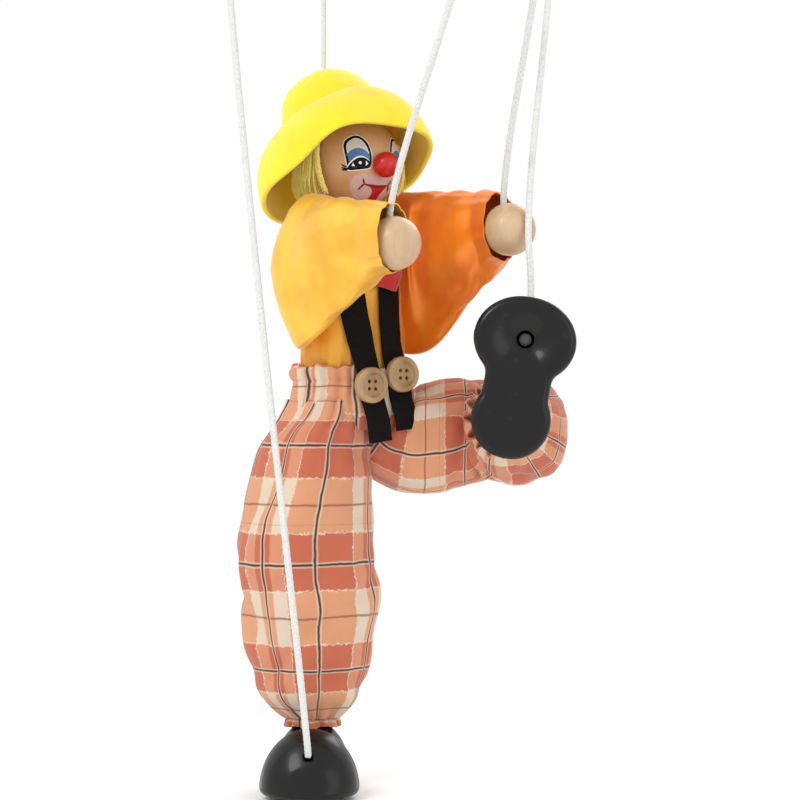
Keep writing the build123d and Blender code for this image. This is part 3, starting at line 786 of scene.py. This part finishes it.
def make_waist(made):
    """The seat of the trousers and the gathered casing at the waist, with its heading above the elastic."""
    lines = (  # share, height, half width, half depth
        (0.00, 13.8, 25.2, 18.4), (0.10, 12.4, 25.6, 18.7), (0.25, 9.6, 25.2, 18.5), (0.33, 7.8, 24.4, 17.9),
        (0.42, 6.0, 25.0, 18.4), (0.60, 1.5, 25.8, 18.8), (0.80, -4.5, 26.0, 19.6), (1.00, -12.0, 23.0, 17.6),
    )
    count, steps, rings = 420, 60, []
    for i in range(steps + 1):
        share = i / steps
        z, wide, deep = columns_at(lines, share)
        fade = 1 if share < 0.5 else max(0.15, 1 - (share - 0.5) / 0.45)
        heading = max(0, 1 - share * 6)
        ring = []
        for angle in turns(count):
            out = gather(angle, 26, 0.8, 0.6) * fade + wrinkle(3, share, angle, 2.4, 3, 0.9)
            top = (0.9 * math.sin(9 * angle) + 0.5 * math.sin(23 * angle)) * heading
            ring.append(oval(angle, wide + out, deep + out, z + top))
        rings.append(ring)
    piece = skin("trouser_waist", rings, uv=lambda i, j: (170 * j / count, -12 + 30 * i / steps))
    made.put(thicken(piece, 0.7))
    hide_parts("pants_seat", "waist_elastic")
    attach(piece, "torso")


def shirt_half_widths(z):
    return columns_at((
        (-2, 22.6, 16.2), (6, 22.9, 16.5), (30, 23.0, 17.4), (58, 22.0, 16.5), (66, 19.0, 14.2),
        (73, 14.6, 11.8), (77.5, 12.8, 11.6), (80.5, 14.0, 13.2),
    ), z)


def make_shirt():
    made = satin("satin_body", (0.88, 0.44, 0.035), (0.70, 0.26, 0.015))
    count, steps, rings = 360, 130, []
    for i in range(steps + 1):
        share = i / steps
        z = -2 + 79.0 * share
        wide, deep = shirt_half_widths(z)
        collar, hem = max(0, (share - 0.80) / 0.2), max(0, 1 - share / 0.3)
        ring = []
        for angle in turns(count):
            out = wrinkle(11, share, angle, 2.2, 1.2, 1.3) + wrinkle(12, share, angle, 5, 1.6, 0.35)
            out += gather(angle, 22, 0.8, 1.1) * collar + gather(angle, 30, 0.6) * hem
            ring.append(oval(angle, wide + out, deep + out, z))
        rings.append(ring)
    piece = skin("satin_shirt", rings, uv=lambda i, j: (150 * j / count, 84 * i / steps))
    made.put(thicken(piece, 0.5))
    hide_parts("shirt")
    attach(piece, "torso")


SLEEVES = {  # share, centre, direction, half width, half height
    "right": (
        (0.00, (-12.5, 0, 52), (-1, 0, 0), 9, 22),
        (0.10, (-20.5, -1.5, 51.8), (-1, -0.25, 0), 13.5, 29.5),
        (0.20, (-26, -7, 51), (-1, -1, 0), 14, 31),
        (0.34, (-28, -17, 52), (-0.2, -1, 0), 11.5, 29.5),
        (0.56, (-26.5, -33, 57), (0.08, -1, 0.05), 11.8, 23.5),
        (0.78, (-24, -47, 61.3), (0.12, -1, 0.05), 12.5, 18),
        (0.90, (-23.2, -56, 62.6), (0.3, -1, 0), 12.4, 14.6),
        (1.0, (-21.6, -64.6, 62.6), (0.5, -0.86, 0), 12.9, 13.0),
    ),
    "left": (
        (0.00, (12.5, 0, 54), (1, 0, 0), 9, 24),
        (0.10, (20.5, -1.5, 54), (1, -0.25, 0), 13.5, 31.5),
        (0.20, (26, -8, 53.6), (1, -1, 0), 14, 33),
        (0.34, (28.5, -18, 55), (0.2, -1, 0), 11.5, 31.5),
        (0.56, (30, -34, 61), (0.05, -1, 0.08), 11.8, 25),
        (0.78, (31, -49, 66), (0.04, -1, 0.06), 12.5, 19),
        (0.90, (31.3, -56, 68.6), (0.15, -1, 0.05), 11.2, 15),
        (1.0, (31.4, -61.5, 69), (0.35, -0.94, 0.05), 11.4, 13.2),
    ),
}
SLEEVE_LEAN = {"right": 0.20, "left": -0.12}  # how far the top of the sleeve leans toward the neck
SLEEVE_FLAT = (120.0, 78.0)


def sleeve_stations(side):
    out = []
    for share, place, way, wide, high in SLEEVES[side]:
        ahead = unit(*way)
        side_way = ahead.cross(unit(SLEEVE_LEAN[side] * (1 - share), 0, 1)).normalized()
        up_way = side_way.cross(ahead).normalized()
        out.append((share, spot(*place), side_way, up_way, wide, high))
    return out


def sleeve_folds(side):
    seed = 21 if side == "right" else 25

    def folds(share, angle):
        middle = math.sin(math.pi * min(1, share * 1.02)) ** 0.6
        broad = wrinkle(seed, share, angle, 0.9, 1.5, 2.6)
        depth = (broad + wrinkle(seed + 1, share, angle, 1.9, 2.6, 1.0)) * middle
        for centre, width, slant, amount in ((0.50, 0.09, -0.16, 1.5), (0.74, 0.07, 0.13, 1.3)):
            depth += amount * crease(share, centre + slant * math.cos(angle), width)
        return depth + gather(angle, 11, 0.35, seed) * max(0.0, share - 0.80) / 0.2

    return folds


def make_sleeves():
    tones = {
        "right": ((0.95, 0.58, 0.055), (0.84, 0.40, 0.028)),
        "left": ((0.92, 0.27, 0.014), (0.82, 0.17, 0.009)),
    }
    for side in SIDES:
        piece = cloth_tube(
            f"{side}_satin_sleeve", sleeve_stations(side), (200, 200), SLEEVE_FLAT,
            satin(f"satin_{side}", *tones[side]), sleeve_folds(side), n=2.2, thickness=0.5, keel=0.75,
        )
        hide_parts(f"{side}_sleeve")
        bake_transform(piece)


# ---------------------------------------------------------------- hat, hair, face
TILT = unit(-0.191, 0.446, 0.875)
HAT = HEAD + TILT * 23.5 * MM
BRIM = (  # round the hat in degrees: how steeply the brim falls and how long it is
    (0, 80, 35), (45, 79, 36), (90, 66, 33), (120, 60, 28), (150, 52, 28), (180, 53, 33),
    (210, 52, 34), (240, 58, 35), (270, 58, 34), (315, 72, 35), (360, 80, 35),
)
BRIM_CURL = 0.55  # how much flatter the brim starts than it ends, in radians
CROWN = (  # share of the way from the top to the edge: how far out and how high
    (0.0, 0.0, 18.0), (0.13, 7.0, 16.8), (0.24, 13.0, 13.9),
    (0.34, 17.4, 9.8), (0.43, 20.0, 4.8), (0.52, 22.0, -0.6),
)
FELT_THICKNESS = 2.0


def hat_line(share, angle):
    """How far out and how high the felt is, in millimetres from the middle of the crown's foot."""
    foot, wide, high = CROWN[-1]
    if share <= foot:
        return columns_at(CROWN, share)
    along = (share - foot) / (1 - foot)
    fall, long = columns_at(BRIM, math.degrees(angle) % 360)
    fall = math.radians(fall) - BRIM_CURL * (1 - along)
    return wide + long * along * math.cos(fall), high - long * along * math.sin(fall)


def hat_point(share, angle, inset):
    """The felt's surface from the top of the crown to the brim's edge. inset is its depth in millimetres."""
    side = TILT.cross(UP).normalized()
    front = side.cross(TILT).normalized()
    radial = side * math.cos(angle) + front * math.sin(angle)
    radius, height = hat_line(share, angle)
    before, after = hat_line(max(0, share - 0.03), angle), hat_line(min(1, share + 0.03), angle)
    slope = Vector((after[0] - before[0], after[1] - before[1])).normalized()
    normal = radial * -slope.y + TILT * slope.x
    dents = 0.9 * noise.noise(Vector((math.cos(angle) * 1.5, math.sin(angle) * 1.5, share * 3)))
    wave = max(0, share - 0.6) * 2.2 * math.sin(5 * angle + 1.2)
    return HAT + (radial * radius + TILT * height + normal * (dents + wave - inset)) * MM


def make_hat():
    made = felt("hat_felt", (0.86, 0.74, 0.015), (0.76, 0.58, 0.012))
    count, steps = 240, 120

    def ring(share, inset):
        return [hat_point(share, angle, inset) for angle in turns(count)]

    outer = [ring(i / steps, 0) for i in range(1, steps + 1)]
    edge = [[place + (place - HAT).normalized() * 0.8 * MM for place in ring(1.0, FELT_THICKNESS / 2)]]
    inner = [ring(i / steps, FELT_THICKNESS) for i in range(steps, 0, -1)]
    piece = made.put(skin("felt_hat", outer + edge + inner, ends=(True, True)))
    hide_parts("hat")
    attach(piece, "head")


FACE_TURN = 5.0  # how far the face looks to the puppet's left, in degrees


def head_place(azimuth, height, radius):
    """A place about the head: azimuth in degrees from the way that the face looks, height in millimetres."""
    turn = math.radians(azimuth + FACE_TURN)
    flat = math.sqrt(max(0.0, radius**2 - height**2))
    return HEAD + Vector((math.sin(turn) * flat, -math.cos(turn) * flat, height)) * MM


def strands(name, lines, radius):
    """One mesh of thin four-sided strands along the given lines."""
    verts, faces = [], []
    for points in lines:
        for i, (point, (side, up)) in enumerate(zip(points, frames_along(points))):
            thin = radius * (1 if i < len(points) - 3 else 0.6)
            verts += [point + (side * x + up * y) * thin * MM for x, y in ((1, 0), (0, 1), (-1, 0), (0, -1))]
        start = len(verts) - 4 * len(points)
        for i in range(start, len(verts) - 4, 4):
            faces += [(i + j, i + (j + 1) % 4, i + 4 + (j + 1) % 4, i + 4 + j) for j in range(4)]
    return add_mesh(name, verts, faces)


def hair_line(index):
    """One loose strand from under the hat down to the collar."""
    azimuth = random.uniform(81, 279)
    layer = random.random()
    top = random.uniform(4, 13)
    low = -14.5 + random.uniform(-1.2, 3.0)
    lean = random.uniform(-7, 7)
    points = []
    for i in range(13):
        t = i / 12
        high = top + (low - top) * t
        radius = 20.4 + layer * 2.2 + 3.8 * t**1.6 * (0.5 + 0.8 * layer)
        wave = 0.84 * math.sin(t * 7 + index) * t
        points.append(head_place(azimuth + lean * t + wave, high, math.hypot(radius, high * 0.35)))
    return points


def weft_line(side, edge, phase):
    """One of the three threads that are plaited down a front edge of the wig."""
    points = []
    for i in range(60):
        t = i / 59
        turn = t * 34 + phase
        azimuth = edge - side * 8 * t + math.sin(turn) * 2.2
        points.append(head_place(azimuth, 8 - 22 * t, 22.2 + 1.2 * t + 0.5 * math.cos(turn)))
    return points


def make_hair():
    """A wefted wig: a braided band at each front edge and loose strands between them round the back."""
    made = thread("hair", (0.98, 0.88, 0.27), (0.88, 0.72, 0.15), 900)
    pieces = [strands("hair_strands", [hair_line(k) for k in range(1500)], 0.16)]
    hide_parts("hair")
    for side, name, edge in ((1, "left", 79), (-1, "right", 281)):
        lines = [weft_line(side, edge, thread_index * 2.1) for thread_index in range(3)]
        pieces.append(strands(f"hair_weft_{name}", lines, 0.65))
    for piece in pieces:
        made.put(piece)
        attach(piece, "head")


def face_mesh(name, points, faces, made, lift):
    """A thin patch of paint on the head. Its points are millimetres round and up the face."""
    places = [head_place(math.degrees(x / HEAD_R), y, HEAD_R + lift) for x, y in points]
    piece = made.put(add_mesh(name, places, faces))
    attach(piece, "head")


def paint_patch(name, outline, made, lift, centre=None):
    """A painted area inside an outline that its centre sees whole."""
    rings, count = 14, len(outline)
    x0, y0 = centre or (sum(p[0] for p in outline) / count, sum(p[1] for p in outline) / count)
    points, faces = [(x0, y0)], []
    for r in range(1, rings + 1):
        points += [(x0 + (x - x0) * r / rings, y0 + (y - y0) * r / rings) for x, y in outline]
    for j in range(count):
        faces.append((0, 1 + j, 1 + (j + 1) % count))
    for r in range(rings - 1):
        inner, outer = 1 + r * count, 1 + (r + 1) * count
        for j in range(count):
            k = (j + 1) % count
            faces.append((inner + j, outer + j, outer + k, inner + k))
    face_mesh(name, points, faces, made, lift)


def paint_line(name, line, width, made, lift):
    """A brush stroke along a line, tapered at both ends."""
    points, last = [], len(line) - 1
    for i, place in enumerate(line):
        ahead = (Vector(line[min(i + 1, last)]) - Vector(line[max(i - 1, 0)])).normalized()
        taper = width / 2 * min(1.0, 0.35 + 2.6 * min(i, last - i) / last)
        side = Vector((-ahead.y, ahead.x)) * taper
        points += [Vector(place) + side, Vector(place) - side]
    faces = [(2 * i, 2 * i + 1, 2 * i + 3, 2 * i + 2) for i in range(last)]
    face_mesh(name, points, faces, made, lift)


def round_through(points, count=96):
    """A smooth closed line through the given places."""
    out, last = [], len(points)
    for i in range(count):
        at = i * last / count
        k, t = int(at), at - int(at)
        near = [points[(k + step) % last] for step in (-1, 0, 1, 2)]
        weights = (-t**3 + 2 * t * t - t, 3 * t**3 - 5 * t * t + 2, -3 * t**3 + 4 * t * t + t, t**3 - t * t)
        out.append(tuple(sum(w * q[axis] for w, q in zip(weights, near)) / 2 for axis in (0, 1)))
    return out


def circle(x, y, radius, count=24):
    return [(x + radius * math.cos(a), y + radius * math.sin(a)) for a in turns(count)]


EYE_OUTER = (  # outward from the eye's middle and up the face
    (1.1, 9.3), (3.7, 8.4), (5.3, 7.2), (5.9, 5.4), (5.6, 3.3), (4.9, 0.2), (4.3, -2.9), (3.6, -4.8),
    (-0.3, -4.6), (-3.5, -4.2), (-5.2, -3.6), (-5.8, -2.0), (-5.9, 0.4), (-5.5, 3.2), (-4.7, 5.7),
    (-3.2, 7.7), (-1.2, 9.0),
)
EYE_INNER = (
    (0.9, 8.3), (3.3, 7.2), (4.6, 5.5), (4.5, 3.3), (3.9, 0.2), (3.4, -2.0), (2.9, -3.6), (0.0, -3.6),
    (-4.1, -3.3), (-4.8, -1.8), (-5.0, 0.3), (-4.6, 2.8), (-3.6, 5.3), (-1.8, 7.5),
)
EYE_MIDDLE = 10.6
EYE_LIFTS = {  # how far each layer of paint stands off the head
    "edge": 0.06, "black": 0.10, "rim": 0.14, "lid": 0.18, "blue": 0.22, "ring": 0.26, "iris": 0.30,
    "corner_out": 0.34, "corner_in": 0.34, "spark": 0.38,
}


def grown(points, amount):
    """An eye's outline, larger all round."""
    return [(x * (1 + amount / 5.6), 2.2 + (y - 2.2) * (1 + amount / 6.9)) for x, y in points]


def under(points, top, middle, curve):
    """The part of an outline below an arch."""
    return [(x, min(y, top - curve * (x - middle) ** 2)) for x, y in points]


def paint_eye(side, name, white, bright, black, blue):
    """A tall eye, painted in layers."""
    middle = side * EYE_MIDDLE
    outer, inside = round_through(EYE_OUTER), round_through(EYE_INNER)
    heart = (middle, -2.0)
    for part, outline, paint_used, centre in (
        ("edge", grown(outer, 0.35), bright, None),
        ("black", outer, black, None),
        ("rim", inside, bright, None),
        ("lid", grown(inside, -0.4), white, None),
        ("blue", under(inside, 4.2, -0.3, 0.12), blue, heart),
        ("ring", under(inside, 0.95, -1.2, 0.14), bright, heart),
        ("iris", under(inside, 0.3, -1.5, 0.13), black, heart),
        ("corner_out", ((2.5, -3.3), (1.9, -1.8), (1.1, -3.3)), bright, None),
        ("corner_in", ((-3.4, -0.9), (-4.4, -2.2), (-3.3, -3.1)), bright, None),
        ("spark", circle(-1.0, -1.9, 0.62), bright, None),
    ):
        placed = [(middle + side * x, y) for x, y in outline]
        paint_patch(f"{name}_eye_{part}", placed, paint_used, EYE_LIFTS[part], centre)
    for k, (start, rise) in enumerate(((-3.3, 0.9), (-4.0, 0.3), (-4.5, -0.1))):
        lash = [(middle + side * (3.9 + 2.8 * t), start - 0.9 * t + (0.9 + rise) * t * t) for t in tenths()]
        paint_line(f"{name}_lash_{k + 1}", lash, 0.6, black, 0.12)


CHEEK = (
    (5.5, -6.2), (8.3, -6.0), (10.9, -6.6), (12.9, -8.1), (13.8, -10.2), (13.8, -12.3), (12.7, -14.3),
    (10.2, -15.9), (6.4, -16.7),
)
OPEN_MOUTH = (
    (-3.8, -10.9), (1.2, -11.2), (6.2, -10.9), (5.2, -12.6), (4.6, -14.2), (5.2, -16.6), (1.2, -17.2),
    (-2.2, -16.4), (-1.5, -14.4), (-2.0, -12.7),
)


def paint_mouth():
    pink = paint("mouth_pale", (0.62, 0.45, 0.43), (0.54, 0.37, 0.355), 0.45)
    dark_red = paint("mouth_line", (0.24, 0.012, 0.018), (0.16, 0.008, 0.012), 0.35)
    red = paint("mouth_red", (0.48, 0.016, 0.020), (0.38, 0.012, 0.014), 0.35)
    mirrored = tuple((-x, y) for x, y in reversed(CHEEK))
    pale = round_through(((0, -7.1), *CHEEK, (0, -16.9), *mirrored), 144)
    paint_patch("mouth_pale", pale, pink, 0.06, (0, -11.4))
    paint_patch("mouth_open", round_through(OPEN_MOUTH, 80), red, 0.12, (1.6, -13.4))
    smile = [(7.2 * t, -11.0 + 0.8 * t * t) for t in (i / 20 - 1 for i in range(41))]
    paint_line("smile", smile, 1.1, dark_red, 0.18)
    for side in SIDES:
        out = SIGN[side]
        tick = [(out * (7.0 + 1.0 * t), -10.5 + 2.4 * t) for t in tenths()]
        fold = [(out * (6.9 + 3.0 * t), -10.2 - 1.7 * t - 0.7 * t * t) for t in tenths()]
        paint_line(f"{side}_smile_tick", tick, 0.9, dark_red, 0.20)
        paint_line(f"{side}_smile_fold", fold, 0.9, dark_red, 0.20)


def make_face():
    white = paint("eye_white", (0.66, 0.65, 0.63), (0.56, 0.56, 0.55), 0.4)
    bright = paint("eye_line", (0.88, 0.88, 0.86), (0.80, 0.80, 0.78), 0.4)
    black = paint("eye_black", (0.003, 0.003, 0.003), (0.009, 0.009, 0.009), 0.45, 0.08)
    blue = paint("eye_blue", (0.070, 0.185, 0.42), (0.05, 0.13, 0.33), 0.35)
    for side in SIDES:
        paint_eye(SIGN[side], side, white, bright, black, blue)
    paint_mouth()


# ---------------------------------------------------------------- straps and tie
def body_front(x, z, lift):
    """A place on the front of the clothes, lift millimetres off them."""
    wide, deep = shirt_half_widths(max(-2, min(z, 80)))
    flat = math.sqrt(max(0.02, 1 - (x / (wide + 1.2)) ** 2))
    on_shirt = (deep + 1.2) * flat + lift
    low = min(1.0, max(0.0, (24 - z) / 12))
    on_trousers = 20.2 + 2.8 * min(1.0, max(0.0, (1 - z) / 9))
    return spot(x, -on_shirt * (1 - low) - on_trousers * low, z)


def open_sheet(name, rows):
    """A mesh over rows of places."""
    count = len(rows[0])
    faces = [
        (i * count + j, i * count + j + 1, (i + 1) * count + j + 1, (i + 1) * count + j)
        for i in range(len(rows) - 1) for j in range(count - 1)
    ]
    return add_mesh(name, [place for row_places in rows for place in row_places], faces)


def make_strap(side, line, made):
    """A woven strap down the front from the shoulder to its square end."""
    width, steps, columns = 10.5, 120, 14
    course = [(i / (len(line) - 1), Vector(place)) for i, place in enumerate(line)]
    points = [smooth_between(course, k / steps) for k in range(steps + 1)]
    rings = []
    for i, point in enumerate(points):
        ahead = (points[min(i + 1, steps)] - points[max(i - 1, 0)]).normalized()
        out = Vector((0, -1, 0)) if i > 4 else Vector((0, -0.6, 0.8))
        side_way = ahead.cross(out).normalized()
        ring = []
        for j in range(columns + 1):
            base = point + side_way * (j / columns - 0.5) * width
            ring.append(body_front(base.x, base.z, 0.9 + 0.15 * math.sin(i * 0.4 + j)))
        rings.append(ring)
    piece = made.put(thicken(open_sheet(f"{side}_strap", rings), 1.0, 0.0))
    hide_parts(f"{side}_suspender")
    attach(piece, "torso")


def make_straps():
    made = webbing("strap")
    courses = {
        "right": ((-13.2, 74), (-12.8, 58), (-10.8, 41), (-6.6, 20), (-3.4, 4), (-0.6, -17)),
        "left": ((11.8, 74), (8.0, 58), (6.2, 41), (7.8, 20), (10.2, 6), (12.4, -12)),
    }
    for side in SIDES:
        make_strap(side, [(x, 0, z) for x, z in courses[side]], made)


def make_tie():
    """A long flat square-ended tie that widens downward."""
    made = felt("tie_felt", (0.55, 0.018, 0.018), (0.42, 0.012, 0.012))
    edges = (
        ((0.0, (7.4, 79.5)), (0.28, (7.6, 70)), (0.8, (-0.8, 53)), (1.0, (-3.8, 47))),
        ((0.0, (10.8, 79.5)), (0.28, (11.4, 70)), (0.8, (12.2, 53)), (1.0, (8.3, 44.3))),
    )
    edges = [[(share, Vector(place)) for share, place in edge] for edge in edges]
    rows, columns = 60, 14
    rings = []
    for i in range(rows + 1):
        near, far = (smooth_between(edge, i / rows) for edge in edges)
        ring = []
        for j in range(columns + 1):
            p = near.lerp(far, j / columns)
            ring.append(body_front(p.x, p.y, 2.4 + 0.5 * math.sin(math.pi * j / columns)))
        rings.append(ring)
    piece = made.put(thicken(open_sheet("felt_tie", rings), 1.4, 0.0))
    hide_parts("tie")
    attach(piece, "torso")


# ---------------------------------------------------------------- shoes
SHOE_HEEL, SHOE_TIP = -15.5, 48.5
SHOE_HEIGHTS = (  # along the shoe from its heel: how high its middle is
    (SHOE_HEEL, 0.6), (-12, 13.5), (-6, 22.5), (1, 26.0), (8, 24.6), (15.5, 21.8),
    (23, 24.4), (31, 26.0), (40, 21.5), (45.5, 13), (SHOE_TIP, 0.6),
)


def half_width(x):
    """The shoe's half width along its length: heel, pinched waist, toe."""
    heel = math.sqrt(max(0.0, SHOE_HEEL**2 - x**2)) if x < -SHOE_HEEL else 0.0
    toe = 20 * math.sqrt(max(0.0, 1 - ((x - TOE_MIDDLE) / 17) ** 2)) if x > 14.5 else 0.0
    waist = 13.0 if 0 < x < TOE_MIDDLE else 0.0
    sharp = 6
    return (heel**sharp + toe**sharp + waist**sharp) ** (1 / sharp)


def shoe_dome(side):
    """A rounded upper over the heel and toe, highest along the middle."""
    toe, top = SHOE_TOE[side], SHOE_UP[side]
    side_way = top.cross(toe).normalized()
    base = ANKLE[side] - top * SOLE_DROP * MM
    rings, steps = [], 150
    for i in range(steps + 1):
        x = 16.5 - 32.3 * math.cos(math.pi * i / steps)
        x = min(max(x, SHOE_HEEL + 0.05), SHOE_TIP - 0.05)
        wide = max(0.15, half_width(x))
        high = smooth_between(SHOE_HEIGHTS, x)
        ring = []
        for angle in turns(72):
            out, up = math.cos(angle), math.sin(angle)
            y, z = (wide * out, high * up**0.92) if up >= 0 else (wide * power(out, 0.5), up)
            ring.append(base + (toe * x + side_way * y + top * z) * MM)
        rings.append(ring)
    return skin(f"{side}_dome", rings, ends=(True, True))


def make_shoes(made):
    for side in SIDES:
        node = bpy.data.objects[f"{side}_shoe"]
        shoe = bpy.data.objects.new(f"{side}_domed_shoe", node.data.copy())
        bpy.context.scene.collection.objects.link(shoe)
        dome = shoe_dome(side)
        apply(shoe, "BOOLEAN", operation="INTERSECT", object=dome, solver="EXACT")
        bpy.data.objects.remove(dome)
        shoe.data.polygons.foreach_set("use_smooth", [True] * len(shoe.data.polygons))
        made.put(shoe)
        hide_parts(f"{side}_shoe")
        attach(shoe, f"{side}_foot")


# ---------------------------------------------------------------- finishes on the CAD pieces
def both(*names):
    """The right and left node of each name."""
    return tuple(f"{side}_{name}" for name in names for side in SIDES)


def dress_nodes():
    bar_tones = (0.62, 0.42, 0.22), (0.40, 0.24, 0.11)
    finishes = {
        wood("control_wood", *bar_tones, 0.5, 0.2, stretch=(1, 0.12, 1)): ("control_main_bar",),
        wood("control_wood_across", *bar_tones, 0.5, 0.2, stretch=(0.12, 1, 1)): (
            "control_leg_bar", "control_hand_bar",
        ),
        metal("steel"): ("control_screws", "neck_pin", *both("hip_pin", "knee_pin", "ankle_pin")),
        wood("inner_wood", (0.60, 0.43, 0.26), (0.42, 0.27, 0.14), 0.65): (
            "body_block", "shoulder_yoke", "neck_peg", *both("arm", "thigh", "shin"),
        ),
        wood("head_wood", (0.64, 0.38, 0.20), (0.56, 0.31, 0.155), 0.38, 0.15, 90): ("head_ball",),
        wood("hand_wood", (0.60, 0.42, 0.26), (0.48, 0.30, 0.165), 0.42, 0.15, 110): both("hand"),
        paint("red_paint", (0.58, 0.015, 0.018), (0.45, 0.012, 0.014), 0.25): ("nose",),
        wood("button_wood", (0.50, 0.34, 0.18), (0.34, 0.20, 0.09), 0.5, 0.05, 150): both("button"),
        # The knots in the soles are coloured near black as painted shade, so the holes they sit in read dark.
        thread("foot_knots_painted_shade", (0.05, 0.05, 0.05), (0.02, 0.02, 0.02)): both("foot_knot"),
    }
    for made, nodes in finishes.items():
        for node in nodes:
            made.put(bpy.data.objects[node])


set_camera()
make_strings()
set_lights()
dress_nodes()
make_shoes(gloss_black("shoe_paint"))
make_shirt()
make_sleeves()
make_trousers()
make_straps()
make_tie()
make_hair()
make_hat()
make_face()
make_floor()
